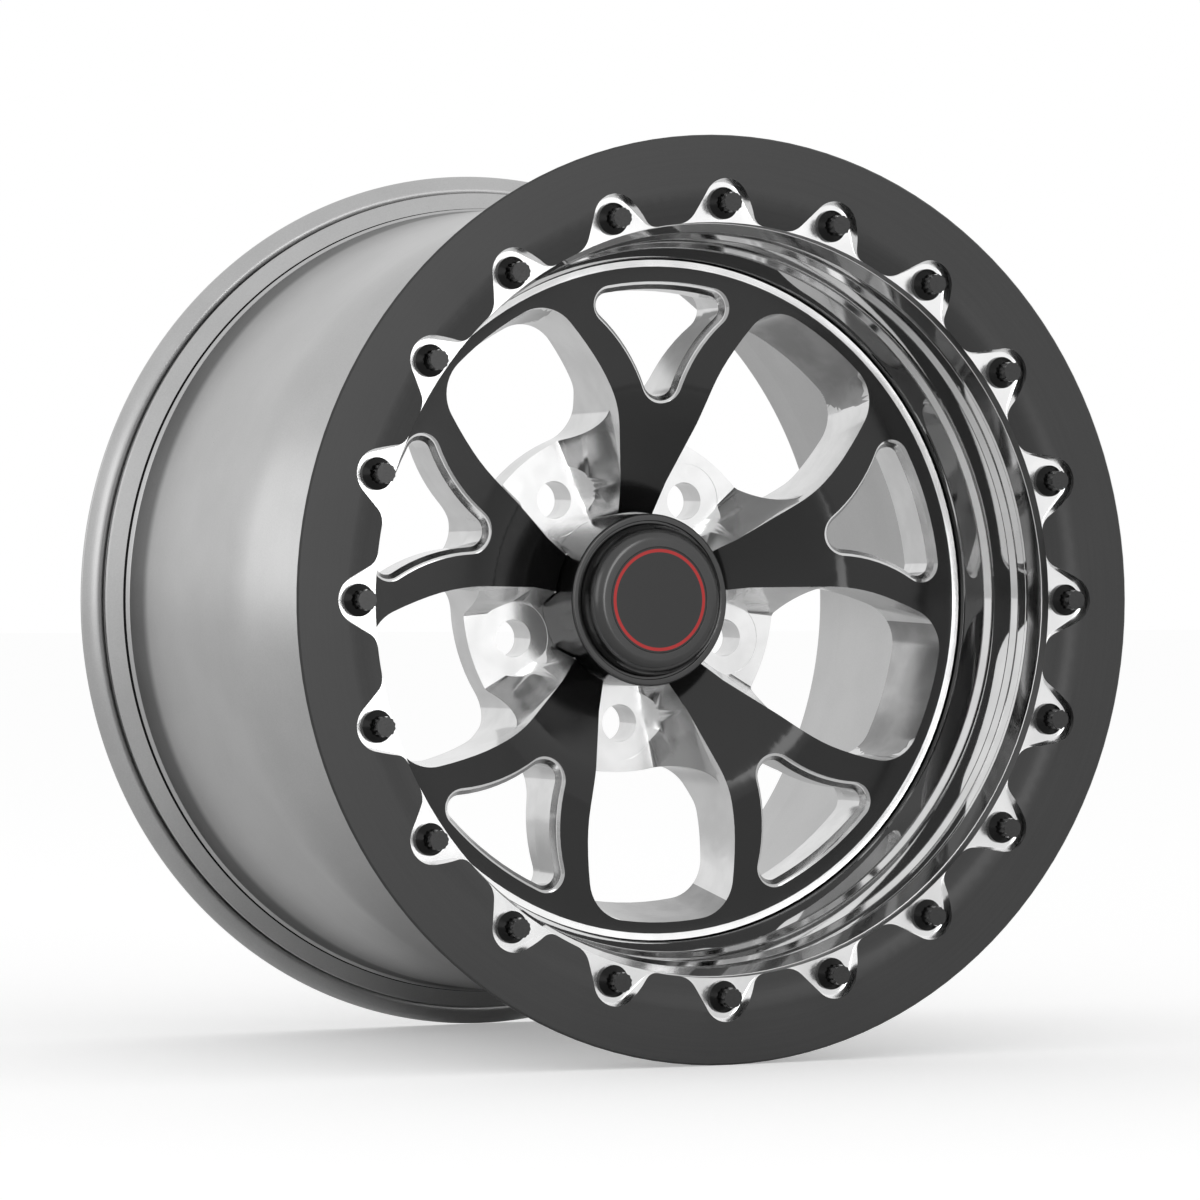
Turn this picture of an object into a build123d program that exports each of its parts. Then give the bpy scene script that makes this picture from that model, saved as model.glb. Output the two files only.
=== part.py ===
from build123d import *
import os
from math import atan, asin, cos, hypot, radians, sin, sqrt, tan

# A drag-racing wheel with a bolted bead clamp. The axle line is Y, the front looks along -Y, and the origin
# is the centre of the hub's mounting face. Lengths are millimetres. Radii are from the axle line, and depths
# run back from the clamp ring's front face.

# Whole wheel
RIM_RADIUS = 190.3             # rear bead seat, the wheel's nominal size
LUG_FLOOR_DEPTH = 109.0        # ring face to the lug seats
HUB_THICKNESS = 18.0           # lug seats to the mounting face
BACKSPACE = 140.0              # mounting face to the rear edge
FIT_CLEARANCE = 0.05           # radial gap of parts that slide together
EDGE_BREAK = 0.4               # rounding of fine turned edges
EDGE_ROUND = 1.0               # rounding of ordinary edges
BEND_ROUND = 2.0               # rounding of bends and shoulders

# Clamp ring
RING_OVERHANG = 18.8           # ring's edge beyond the front bead seat
RING_BORE_MARGIN = 6.0         # ring's bore outside the polished lip
RING_THICKNESS = 10.0
RING_CHAMFER = 0.8             # front outer edge
RING_EDGE_THICKNESS = 4.6      # thickness at the thin outer edge
RING_EDGE_LEAN = 1.7           # how far the outer edge leans in towards its back
ROLL_WIDTH = 15.5              # width of the rolled inner part of the face
ROLL_FULLNESS = 0.97           # share of that width that is curved
POCKET_DEPTH = 4.7             # ring face to the pocket floors, and the drop of the roll
POCKET_RADIUS = 9.6            # pocket round each bolt, at its floor
POCKET_FLARE = 1.4             # how far a pocket's wall leans out at the face
TONGUE_CORNER = 9.0            # rounded corners of the tongues between pockets
TONGUE_TIP_SHARE = 0.211       # of the pitch of the bolts

# Clamp bolts and their thread inserts
BOLT_COUNT = 20
BOLT_INSET = 8.4               # bolts from the ring's bore
BOLT_SHANK_DIAMETER = 6.35
BOLT_REACH = 13.0              # thread below the clamp flange's face
BOLT_HEAD_HEIGHT = 11.2        # pocket floor to the top of the head
BOLT_HEAD_POINTS = 12
BOLT_HEAD_FLATS = 7.94         # across flats
BOLT_FLANGE_DIAMETER = 14.4
BOLT_FLANGE_EDGE = 1.6         # thickness of the flange at its edge
BOLT_FLANGE_HEIGHT = 3.6
BOLT_TOP_CHAMFER = 0.25
BOLT_TIP_CHAMFER = 0.7         # end of the thread
BOLT_HOLE_CLEARANCE = 0.25     # radial
INSERT_WALL = 0.9
INSERT_LENGTH = 12.0
INSERT_INSET = 0.6             # below the clamp flange's face
DRILL_END = 3.0                # hole below the bolt's end

# Clamp flange
FLANGE_DROP = 1.3              # front bead seat below the rear one
FLANGE_THICKNESS = 18.0
SHOULDER_HEIGHT = 4.2          # bead shoulder above the seat
SHOULDER_WIDTH = 7.0
SHOULDER_DEPTH = 20.0
FLANGE_INNER_EDGE = 0.4        # polished edge that shows inside the ring's bore
FLANGE_CONE_LENGTH = 7.0
FLANGE_LAND = 2.0              # land behind the cone

# Outer rim half
LIP_DROP = 27.3                # inside of the polished lip below the rear bead seat
SHELL_WALL = 5.0
LIP_FLARE = 2.3                # front of the lip above its wall
LIP_FLARE_DEPTH = 26.0         # where that front part ends
LIP_FLARE_RUN = 2.9            # slope from there down to the wall
LIP_STEP_DEPTH = 45.0          # where the lip steps in towards the centre
LIP_STEP = 3.0
LIP_STEP_RUN = 3.6
LIP_FOOT_DEPTH = 59.8          # where the cone inside the step ends
LIP_FOOT = 0.8                 # bevel at the end of that cone
LIP_BEND = 3.5                 # bends of the lip's step
VALVE_HOLE_DIAMETER = 11.5
VALVE_HOLE_DEPTH = 39.0

# Waist, seam and barrel
WAIST_DROP = 19.0              # waist below the barrel
WAIST_DEPTH = 62.0
WAIST_CONE_ANGLE = 17.0
WAIST_BEND = 8.0
JOINT_DEPTH = 80.0             # where the two rim halves meet
SEAM_DEPTH = 3.0
SEAM_CROWN = 0.9
BARREL_DROP = 4.8              # barrel below the rear bead seat
BARREL_WALL = 5.5
BARREL_BLEND = 95.0            # radius of the bend between cone and barrel
ROOT_BEND = 4.0                # inside, behind the centre's band

# Rear bead seat and lip, placed from the rear edge
SEAT_TAPER = 5.0               # degrees
SEAT_WIDTH = 19.0
SEAT_BEND = 3.0                # bend between the seat and the bead face
LIP_WIDTH = 14.5               # bead face to the rear edge, and the height of that edge's flat back
REAR_LIP_HEIGHT = 17.2         # rear lip above the seat
REAR_WALL_HEIGHT = 9.3         # bead face, up to its sharp edge
REAR_WALL_LEAN = 3.5
REAR_ROLL = 5.65               # radius of the rolled edge
REAR_ROLL_LENGTH = 8.1         # rolled edge, front to back
REAR_ROLL_TURN = 57.0          # degrees that the roll turns in behind the bead face
REAR_GROOVE_DEPTH = 7.0        # groove between bead face and roll
REAR_GROOVE_FLOOR = 2.0

# Wheel centre
CENTRE_INSET = 7.5             # centre's band inside the polished lip
CENTRE_FACE_DEPTH = 65.0
CENTRE_BAND_LENGTH = 30.0
RIM_LINE_WIDTH = 3.0           # bright turned line round the face
RIM_LINE_RISE = 0.4            # its outer edge in front of the face
RIM_GROOVE_WIDTH = 0.7         # dark groove between that line and the lip
RIM_GROOVE_DEPTH = 3.0
SPOKE_COUNT = 5
FACE_FLAT_SHARE = 0.579        # of the centre's radius: the face is flat outside, and dishes in inside
FACE_BLEND = 40.0
DISH_DROP = 27.7               # drop of the dish from the flat face to the hub
PAD_MARGIN = 22.85             # hub disc between the spokes, beyond the lug circle
MOUNT_BEVEL = 4.0              # edge of the mounting face
SPOKE_BACK_DEPTH = 103.0       # back of the spokes at the band
HUB_FLARE = 22.0               # from the hub disc out to the back of a spoke
SPOKE_BACK_BLEND = 12.0
LUG_CIRCLE_DIAMETER = 114.3
LUG_HOLE_DIAMETER = 17.5
LUG_SPOTFACE_DIAMETER = 35.0
LUG_SPOTFACE_DEPTH = 0.3
HUB_PILOT_DIAMETER = 80.3
HUB_PILOT_LENGTH = 9.0

# Large windows between the spokes
WINDOW_WIDEST_SHARE = 0.7074   # of the centre's radius, to the widest place
WINDOW_WIDTH_SHARE = 0.341     # half width there, of the distance from the axle line
WINDOW_INNER_BEND = 93.0       # side curve towards the hub
WINDOW_OUTER_BEND = 180.0      # side curve towards the rim
WINDOW_END_MARGIN = 8.1        # from the window's outer end to the centre's edge
WINDOW_END_CORNER = 19.0
WINDOW_HUB_CORNER = 12.0
WINDOW_END_DRAFT = 13.0        # degrees, outer end wall
POCKET_ROOT_HALF_WIDTH = 11.0  # lug pocket floor with its bevels, at the cap
POCKET_FLOOR_SPREAD = 11.9     # degrees, each side of the lug pocket's floor
POCKET_WALL_DRAFT = 22.0       # degrees, walls of the lug pocket
POCKET_FOOT = 1.4              # bevel between those walls and the floor

# Three-cornered windows in the spokes
TRIANGLE_APEX_SHARE = 0.6463   # of the centre's radius, to the centre of the rounded apex
TRIANGLE_APEX_ROUND = 10.5
TRIANGLE_CORNER_ROUND = 9.0
TRIANGLE_SIDE_BEND = 75.0      # the sides bow in
TRIANGLE_CORNER_ANGLE = 10.8   # degrees to each outer corner
TRIANGLE_END_MARGIN = 9.8      # from the window's outer end to the centre's edge
TRIANGLE_LEDGE_DEPTH = 1.8
TRIANGLE_LEDGE_WIDTH = 1.2
TRIANGLE_BEVEL_WIDTH = 2.0
TRIANGLE_BEVEL_DEPTH = 3.0
TRIANGLE_WEB = 20.0            # thickness of the spoke round the window
TRIANGLE_BACK_MARGIN = 3.0     # the hollow in the spoke's back is this much wider

# Centre cap
CAP_SKIRT_RADIUS = 39.7
CAP_GAP = 0.9                  # between the skirt and the spokes
CAP_SHOULDER = 2.2             # skirt beyond the seat in the hub
CAP_DOME_HEIGHT = 9.6          # front edge of the skirt to the front
CAP_RIM_ROUND = 1.2
CAP_DOME_INSET = 4.3           # dome inside the skirt
CAP_GROOVE_DEPTH = 1.0         # line between rim and dome
CAP_FRONT_DEPTH = 67.4
CAP_DOME_ROUND = 7.0
CAP_WALL = 3.0
CAP_SPIGOT_LENGTH = 8.0        # reaches into the hub
MEDALLION_INSET = 11.0         # medallion inside the dome
MEDALLION_THICKNESS = 0.8
O_RING_THICKNESS = 2.2

# Worked out from the above
MOUNT_DEPTH = LUG_FLOOR_DEPTH + HUB_THICKNESS
REAR_DEPTH = MOUNT_DEPTH + BACKSPACE
BEAD_FACE_DEPTH = REAR_DEPTH - LIP_WIDTH
BAND_BACK_DEPTH = CENTRE_FACE_DEPTH + CENTRE_BAND_LENGTH
FLANGE_BACK_DEPTH = RING_THICKNESS + FLANGE_THICKNESS
SHELL_FRONT_DEPTH = RING_THICKNESS + FLANGE_CONE_LENGTH + FLANGE_LAND
BARREL_RADIUS = RIM_RADIUS - BARREL_DROP
WAIST_RADIUS = BARREL_RADIUS - WAIST_DROP
REAR_LIP_RADIUS = RIM_RADIUS + REAR_LIP_HEIGHT
LIP_RADIUS = RIM_RADIUS - LIP_DROP
FLANGE_RADIUS = RIM_RADIUS - FLANGE_DROP
RING_RADIUS = FLANGE_RADIUS + RING_OVERHANG
RING_BORE_RADIUS = LIP_RADIUS + RING_BORE_MARGIN
BOLT_CIRCLE_RADIUS = RING_BORE_RADIUS + BOLT_INSET
CENTRE_RADIUS = LIP_RADIUS - CENTRE_INSET
FACE_FLAT_RADIUS = FACE_FLAT_SHARE * CENTRE_RADIUS
PAD_RADIUS = LUG_CIRCLE_DIAMETER / 2 + PAD_MARGIN
MOUNT_FACE_RADIUS = PAD_RADIUS - MOUNT_BEVEL
SPOKE_BACK_RADIUS = PAD_RADIUS + HUB_FLARE
WINDOW_WIDEST_RADIUS = WINDOW_WIDEST_SHARE * CENTRE_RADIUS
WINDOW_HALF_WIDTH = WINDOW_WIDTH_SHARE * WINDOW_WIDEST_RADIUS
WINDOW_END_RADIUS = CENTRE_RADIUS - WINDOW_END_MARGIN
TRIANGLE_APEX_RADIUS = TRIANGLE_APEX_SHARE * CENTRE_RADIUS
TRIANGLE_END_RADIUS = CENTRE_RADIUS - TRIANGLE_END_MARGIN
HUB_BORE_RADIUS = CAP_SKIRT_RADIUS + CAP_GAP
CAP_SEAT_RADIUS = CAP_SKIRT_RADIUS - CAP_SHOULDER
CAP_DOME_RADIUS = CAP_SKIRT_RADIUS - CAP_DOME_INSET
CAP_RIM_DEPTH = CAP_FRONT_DEPTH + CAP_DOME_HEIGHT
MEDALLION_RADIUS = CAP_DOME_RADIUS - MEDALLION_INSET
PITCH = 360 / SPOKE_COUNT
BOLT_PITCH = 360 / BOLT_COUNT
SPOKE_ANGLES = [90 + PITCH * k for k in range(SPOKE_COUNT)]
WINDOW_ANGLES = [angle + PITCH / 2 for angle in SPOKE_ANGLES]
BOLT_ANGLES = [BOLT_PITCH * k for k in range(BOLT_COUNT)]


def turned(*corners):
    """Solid turned about the axle line, from corners of (radius, depth, roundness)."""
    points = [(radius, depth - MOUNT_DEPTH) for radius, depth, roundness in corners]
    outline = FilletPolyline(points, radius=[roundness for radius, depth, roundness in corners], close=True)
    return revolve(make_face(outline), Axis.Y)


def face_plane(depth):
    """Plane square to the axle line, with its x to the right, its y up and its normal to the front."""
    return Plane(origin=(0, depth - MOUNT_DEPTH, 0), x_dir=(1, 0, 0), z_dir=(0, -1, 0))


def around(shape, angles):
    """Copies of a shape made at angle 0, turned to each angle as seen from the front."""
    return [shape.rotate(Axis.Y, -angle) for angle in angles]


def through(outline, front_depth, back_depth):
    """Prism with an outline drawn on the face plane, between two depths."""
    return extrude(face_plane(back_depth) * outline, back_depth - front_depth)


def lofted(front_outline, front_depth, back_outline, back_depth):
    """Solid with straight walls between two outlines at two depths."""
    return loft([face_plane(back_depth) * back_outline, face_plane(front_depth) * front_outline], ruled=True)


def round_hole(radius, centre_radius, front_depth, back_depth):
    """Round cutter at angle 0, at a distance from the axle line."""
    return through(Pos(centre_radius, 0) * Circle(radius), front_depth, back_depth)


def arc_point(centre, radius, angle):
    """Point on a circle at an angle in degrees."""
    return (centre[0] + radius * cos(radians(angle)), centre[1] + radius * sin(radians(angle)))


def towards(start, aim, distance):
    """Point at a distance from a start, on the line to an aim."""
    share = distance / hypot(aim[0] - start[0], aim[1] - start[1])
    return (start[0] + (aim[0] - start[0]) * share, start[1] + (aim[1] - start[1]) * share)


def mirrored(point):
    return (point[0], -point[1])


def tangent(first, first_radius, second, second_radius, side):
    """Ends of the line that touches two circles; a negative radius puts that circle across the line."""
    along = (second[0] - first[0], second[1] - first[1])
    length = hypot(*along)
    along = (along[0] / length, along[1] / length)
    lean = (first_radius - second_radius) / length
    rise = side * sqrt(1 - lean ** 2)
    normal = (along[0] * lean - along[1] * rise, along[1] * lean + along[0] * rise)
    start = (first[0] + first_radius * normal[0], first[1] + first_radius * normal[1])
    end = (second[0] + second_radius * normal[0], second[1] + second_radius * normal[1])
    return start, end


def ring_pocket_outline(spread):
    """Pocket that opens to the ring's bore, wider by spread all round."""
    bolt_centre = (BOLT_CIRCLE_RADIUS, 0)
    corner_radius = TONGUE_CORNER - spread
    centre_radius = RING_BORE_RADIUS + TONGUE_CORNER
    corner_angle = BOLT_PITCH / 2 * (1 - TONGUE_TIP_SHARE)
    corner_centre = arc_point((0, 0), centre_radius, corner_angle)
    leave, meet = tangent(bolt_centre, POCKET_RADIUS + spread, corner_centre, -corner_radius, -1)
    tip = arc_point((0, 0), centre_radius - corner_radius, corner_angle)
    bulge = towards(corner_centre, ((meet[0] + tip[0]) / 2, (meet[1] + tip[1]) / 2), corner_radius)
    inside = arc_point((0, 0), RING_BORE_RADIUS - TONGUE_CORNER, corner_angle)
    outer = (BOLT_CIRCLE_RADIUS + POCKET_RADIUS + spread, 0)
    return make_face([
        ThreePointArc(mirrored(leave), outer, leave),
        Line(leave, meet),
        ThreePointArc(meet, bulge, tip),
        Line(tip, inside),
        Line(inside, mirrored(inside)),
        Line(mirrored(inside), mirrored(tip)),
        ThreePointArc(mirrored(tip), mirrored(bulge), mirrored(meet)),
        Line(mirrored(meet), mirrored(leave)),
    ])


def beadlock_ring():
    roll_angle = 2 * atan(POCKET_DEPTH / ROLL_WIDTH)
    roll_run = POCKET_DEPTH / sin(roll_angle)
    roll_radius = ROLL_FULLNESS * roll_run / tan(roll_angle / 2)
    lean_radius = RING_RADIUS - RING_EDGE_LEAN
    ring = turned(
        (RING_BORE_RADIUS, POCKET_DEPTH, 0),
        (RING_BORE_RADIUS + roll_run * cos(roll_angle), 0, roll_radius),
        (RING_RADIUS - RING_CHAMFER, 0, RING_CHAMFER / 2),
        (RING_RADIUS, RING_CHAMFER, RING_CHAMFER / 2),
        (lean_radius, RING_EDGE_THICKNESS, RING_EDGE_LEAN / 2),
        (FLANGE_RADIUS + RING_EDGE_LEAN, RING_THICKNESS - RING_EDGE_LEAN, 0),
        (FLANGE_RADIUS, RING_THICKNESS, 0),
        (RING_BORE_RADIUS, RING_THICKNESS, 0),
    )
    pocket = lofted(ring_pocket_outline(POCKET_FLARE), 0, ring_pocket_outline(0), POCKET_DEPTH)
    hole = round_hole(
        BOLT_SHANK_DIAMETER / 2 + BOLT_HOLE_CLEARANCE, BOLT_CIRCLE_RADIUS, 0, RING_THICKNESS
    )
    return ring - around(pocket, BOLT_ANGLES) - around(hole, BOLT_ANGLES)


def beadlock_bolts():
    """Flange bolts with twelve-point heads, all alike."""
    shank_end = RING_THICKNESS + BOLT_REACH - POCKET_DEPTH
    flange_radius = BOLT_FLANGE_DIAMETER / 2
    neck_radius = BOLT_HEAD_FLATS / 2
    flange_profile = make_face(Polyline(
        (0, 0), (flange_radius, 0), (flange_radius, BOLT_FLANGE_EDGE), (neck_radius, BOLT_FLANGE_HEIGHT),
        (0, BOLT_FLANGE_HEIGHT), close=True,
    ))
    flange = revolve(Plane.XZ * flange_profile, Axis.Z)
    turn = 360 / BOLT_HEAD_POINTS
    hexagon = RegularPolygon(neck_radius, BOLT_HEAD_POINTS // 2, major_radius=False)
    head = extrude(hexagon + Rot(Z=turn) * hexagon, BOLT_HEAD_HEIGHT)
    head_radius = neck_radius / cos(radians(turn))
    bevel_profile = make_face(Polyline(
        (0, 0), (head_radius, 0), (head_radius, BOLT_HEAD_HEIGHT - BOLT_TOP_CHAMFER),
        (head_radius - BOLT_TOP_CHAMFER, BOLT_HEAD_HEIGHT), (0, BOLT_HEAD_HEIGHT), close=True,
    ))
    head = head & revolve(Plane.XZ * bevel_profile, Axis.Z)
    shank = Pos(Z=-shank_end / 2) * Cylinder(BOLT_SHANK_DIAMETER / 2, shank_end)
    tip_edge = shank.edges().sort_by(Axis.Z)[0]
    shank = chamfer(tip_edge, BOLT_TIP_CHAMFER)
    bolt = flange + head + shank
    seated = face_plane(POCKET_DEPTH).location * Pos(BOLT_CIRCLE_RADIUS, 0) * bolt
    return Compound(children=around(seated.solid(), BOLT_ANGLES))


def insert_radius():
    return BOLT_SHANK_DIAMETER / 2 + FIT_CLEARANCE + INSERT_WALL


def thread_inserts():
    front = RING_THICKNESS + INSERT_INSET
    sleeve = Circle(insert_radius()) - Circle(BOLT_SHANK_DIAMETER / 2 + FIT_CLEARANCE)
    insert = through(Pos(BOLT_CIRCLE_RADIUS, 0) * sleeve, front, front + INSERT_LENGTH)
    return Compound(children=around(insert.solid(), BOLT_ANGLES))


def beadlock_flange():
    """Turned ring on the front of the rim: inner polished cone, front bead seat and bead shoulder."""
    socket_radius = LIP_RADIUS + SHELL_WALL
    shoulder_radius = FLANGE_RADIUS + SHOULDER_HEIGHT
    cone_end = RING_THICKNESS + FLANGE_CONE_LENGTH
    land_radius = LIP_RADIUS + LIP_FLARE
    flange = turned(
        (RING_BORE_RADIUS - FLANGE_INNER_EDGE, RING_THICKNESS, EDGE_BREAK),
        (FLANGE_RADIUS, RING_THICKNESS, EDGE_ROUND),
        (FLANGE_RADIUS, SHOULDER_DEPTH, EDGE_ROUND),
        (shoulder_radius, SHOULDER_DEPTH, EDGE_ROUND),
        (shoulder_radius, SHOULDER_DEPTH + SHOULDER_WIDTH, BEND_ROUND),
        (socket_radius + SHELL_WALL, FLANGE_BACK_DEPTH, BEND_ROUND),
        (socket_radius, FLANGE_BACK_DEPTH + SHELL_WALL, 0),
        (socket_radius, SHELL_FRONT_DEPTH, 0),
        (land_radius, SHELL_FRONT_DEPTH, EDGE_BREAK),
        (land_radius, cone_end, EDGE_ROUND),
    )
    front = RING_THICKNESS + INSERT_INSET
    seat = round_hole(insert_radius(), BOLT_CIRCLE_RADIUS, RING_THICKNESS, front + INSERT_LENGTH)
    drill = round_hole(
        BOLT_SHANK_DIAMETER / 2 + FIT_CLEARANCE, BOLT_CIRCLE_RADIUS,
        RING_THICKNESS, RING_THICKNESS + BOLT_REACH + DRILL_END,
    )
    return flange - around(seat, BOLT_ANGLES) - around(drill, BOLT_ANGLES)


def cone_radius(depth):
    """Outside of the waist's cone."""
    return WAIST_RADIUS + (depth - WAIST_DEPTH) * tan(radians(WAIST_CONE_ANGLE))


def outer_rim_half():
    """Spun shell: the polished lip, from the clamp flange back to the seam."""
    outside = LIP_RADIUS + SHELL_WALL
    neck_radius = CENTRE_RADIUS + RIM_GROOVE_WIDTH
    groove_depth = CENTRE_FACE_DEPTH + RIM_GROOVE_DEPTH
    shell = turned(
        (LIP_RADIUS + LIP_FLARE, SHELL_FRONT_DEPTH, EDGE_BREAK),
        (outside, SHELL_FRONT_DEPTH, EDGE_BREAK),
        (outside, LIP_STEP_DEPTH, WAIST_BEND),
        (WAIST_RADIUS, WAIST_DEPTH, WAIST_BEND),
        (cone_radius(JOINT_DEPTH - SEAM_DEPTH), JOINT_DEPTH - SEAM_DEPTH, 0),
        (cone_radius(JOINT_DEPTH) - SEAM_DEPTH, JOINT_DEPTH, 0),
        (CENTRE_RADIUS, JOINT_DEPTH, 0),
        (CENTRE_RADIUS, groove_depth, 0),
        (neck_radius, groove_depth, 0),
        (neck_radius, LIP_FOOT_DEPTH + LIP_FOOT, EDGE_BREAK),
        (neck_radius + LIP_FOOT / 2, LIP_FOOT_DEPTH, EDGE_BREAK),
        (LIP_RADIUS - LIP_STEP, LIP_STEP_DEPTH + LIP_STEP_RUN, LIP_BEND),
        (LIP_RADIUS, LIP_STEP_DEPTH, LIP_BEND),
        (LIP_RADIUS, LIP_FLARE_DEPTH + LIP_FLARE_RUN, EDGE_ROUND),
        (LIP_RADIUS + LIP_FLARE, LIP_FLARE_DEPTH, EDGE_ROUND),
    )
    hole = Plane(
        origin=(0, VALVE_HOLE_DEPTH - MOUNT_DEPTH, 0), x_dir=(0, 1, 0), z_dir=(-1, 0, 0)
    ) * Circle(VALVE_HOLE_DIAMETER / 2)
    return shell - extrude(hole, RING_RADIUS)


def rim_seam():
    """Bead of metal in the groove between the two rim halves."""
    front, back = JOINT_DEPTH - SEAM_DEPTH, JOINT_DEPTH + SEAM_DEPTH
    return turned(
        (cone_radius(JOINT_DEPTH) - SEAM_DEPTH, JOINT_DEPTH, 0),
        (cone_radius(front), front, 0),
        (cone_radius(front) + SEAM_CROWN, front + SEAM_CROWN, SEAM_CROWN),
        (cone_radius(back) + SEAM_CROWN, back - SEAM_CROWN, SEAM_CROWN),
        (cone_radius(back), back, 0),
    )


def inner_rim_half():
    """Spun shell: cone, barrel, rear bead seat and rolled rear lip."""
    barrel_depth = WAIST_DEPTH + (BARREL_RADIUS - WAIST_RADIUS) / tan(radians(WAIST_CONE_ANGLE))
    inside = BARREL_RADIUS - BARREL_WALL
    root_depth = BAND_BACK_DEPTH + BARREL_WALL / 2
    root_radius = cone_radius(root_depth) - BARREL_WALL
    seat_front = BEAD_FACE_DEPTH - SEAT_WIDTH
    seat_small = RIM_RADIUS - SEAT_WIDTH * tan(radians(SEAT_TAPER))
    wall_top = RIM_RADIUS + REAR_WALL_HEIGHT
    wall_back = BEAD_FACE_DEPTH + REAR_WALL_LEAN
    roll_front = REAR_DEPTH - REAR_ROLL_LENGTH
    roll_run = REAR_ROLL * tan(radians(REAR_ROLL_TURN) / 2)
    roll_foot = REAR_LIP_RADIUS - REAR_ROLL - roll_run - EDGE_BREAK
    groove_depth = wall_back + REAR_GROOVE_DEPTH
    groove_radius = roll_foot - (groove_depth - roll_front) / tan(radians(REAR_ROLL_TURN))
    return turned(
        (cone_radius(JOINT_DEPTH) - SEAM_DEPTH, JOINT_DEPTH, 0),
        (cone_radius(JOINT_DEPTH + SEAM_DEPTH), JOINT_DEPTH + SEAM_DEPTH, 0),
        (BARREL_RADIUS, barrel_depth, BARREL_BLEND),
        (seat_small, seat_front, WAIST_BEND),
        (RIM_RADIUS, BEAD_FACE_DEPTH, SEAT_BEND),
        (wall_top, wall_back, EDGE_BREAK),
        (groove_radius - EDGE_ROUND, groove_depth - REAR_GROOVE_FLOOR, EDGE_BREAK),
        (groove_radius, groove_depth, EDGE_BREAK),
        (roll_foot, roll_front, REAR_ROLL),
        (REAR_LIP_RADIUS, roll_front, REAR_ROLL),
        (REAR_LIP_RADIUS, REAR_DEPTH, EDGE_ROUND),
        (REAR_LIP_RADIUS - LIP_WIDTH, REAR_DEPTH, BEND_ROUND),
        (RIM_RADIUS, wall_back + BARREL_WALL, BEND_ROUND),
        (RIM_RADIUS - BARREL_WALL, BEAD_FACE_DEPTH + BARREL_WALL, BARREL_WALL),
        (seat_small - BARREL_WALL, seat_front, WAIST_BEND),
        (inside, barrel_depth, BARREL_BLEND - BARREL_WALL),
        (root_radius, root_depth, ROOT_BEND),
        (CENTRE_RADIUS, root_depth, EDGE_ROUND),
        (CENTRE_RADIUS, JOINT_DEPTH, 0),
    )


def crossing(first, first_radius, second, second_radius):
    """Point where two circles cross, to the left of the line between their centres."""
    along = (second[0] - first[0], second[1] - first[1])
    length = hypot(*along)
    along = (along[0] / length, along[1] / length)
    run = (length ** 2 + first_radius ** 2 - second_radius ** 2) / (2 * length)
    rise = sqrt(first_radius ** 2 - run ** 2)
    return (first[0] + along[0] * run - along[1] * rise, first[1] + along[1] * run + along[0] * rise)


def window_side(bend, radius):
    """Point on a curved side of the large window, at a distance along the window's centre line."""
    return (radius, WINDOW_HALF_WIDTH - bend + sqrt(bend ** 2 - (radius - WINDOW_WIDEST_RADIUS) ** 2))


def window_outline(end_radius):
    """Large window at angle 0: a petal with round corners, its narrow end on the hub disc."""
    axle = (0, 0)
    widest = (WINDOW_WIDEST_RADIUS, WINDOW_HALF_WIDTH)
    inner_centre = (WINDOW_WIDEST_RADIUS, WINDOW_HALF_WIDTH - WINDOW_INNER_BEND)
    outer_centre = (WINDOW_WIDEST_RADIUS, WINDOW_HALF_WIDTH - WINDOW_OUTER_BEND)
    hub_corner = crossing(axle, PAD_RADIUS, inner_centre, WINDOW_INNER_BEND)
    end_corner = crossing(axle, end_radius, outer_centre, WINDOW_OUTER_BEND)
    inner_middle = window_side(WINDOW_INNER_BEND, (hub_corner[0] + widest[0]) / 2)
    outer_middle = window_side(WINDOW_OUTER_BEND, (end_corner[0] + widest[0]) / 2)
    petal = make_face([
        ThreePointArc(mirrored(hub_corner), (PAD_RADIUS, 0), hub_corner),
        ThreePointArc(hub_corner, inner_middle, widest),
        ThreePointArc(widest, outer_middle, end_corner),
        ThreePointArc(end_corner, (end_radius, 0), mirrored(end_corner)),
        ThreePointArc(mirrored(end_corner), mirrored(outer_middle), mirrored(widest)),
        ThreePointArc(mirrored(widest), mirrored(inner_middle), mirrored(hub_corner)),
    ])
    by_reach = petal.vertices().sort_by(lambda corner: hypot(corner.X, corner.Y))
    petal = fillet(by_reach[-2:], WINDOW_END_CORNER)
    by_reach = petal.vertices().sort_by(lambda corner: hypot(corner.X, corner.Y))
    return fillet(by_reach[:2], WINDOW_HUB_CORNER)


def lug_pocket_floor(spread):
    """Tapered floor of the pocket over a lug hole, wider by spread each side."""
    near, far = CAP_SEAT_RADIUS, WINDOW_WIDEST_RADIUS
    growth = tan(radians(POCKET_FLOOR_SPREAD))
    near_half = POCKET_ROOT_HALF_WIDTH + (near - HUB_BORE_RADIUS) * growth + spread
    far_half = POCKET_ROOT_HALF_WIDTH + (far - HUB_BORE_RADIUS) * growth + spread
    return make_face(Polyline(
        (near, -near_half), (far, -far_half), (far, far_half), (near, near_half), close=True
    ))


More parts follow.
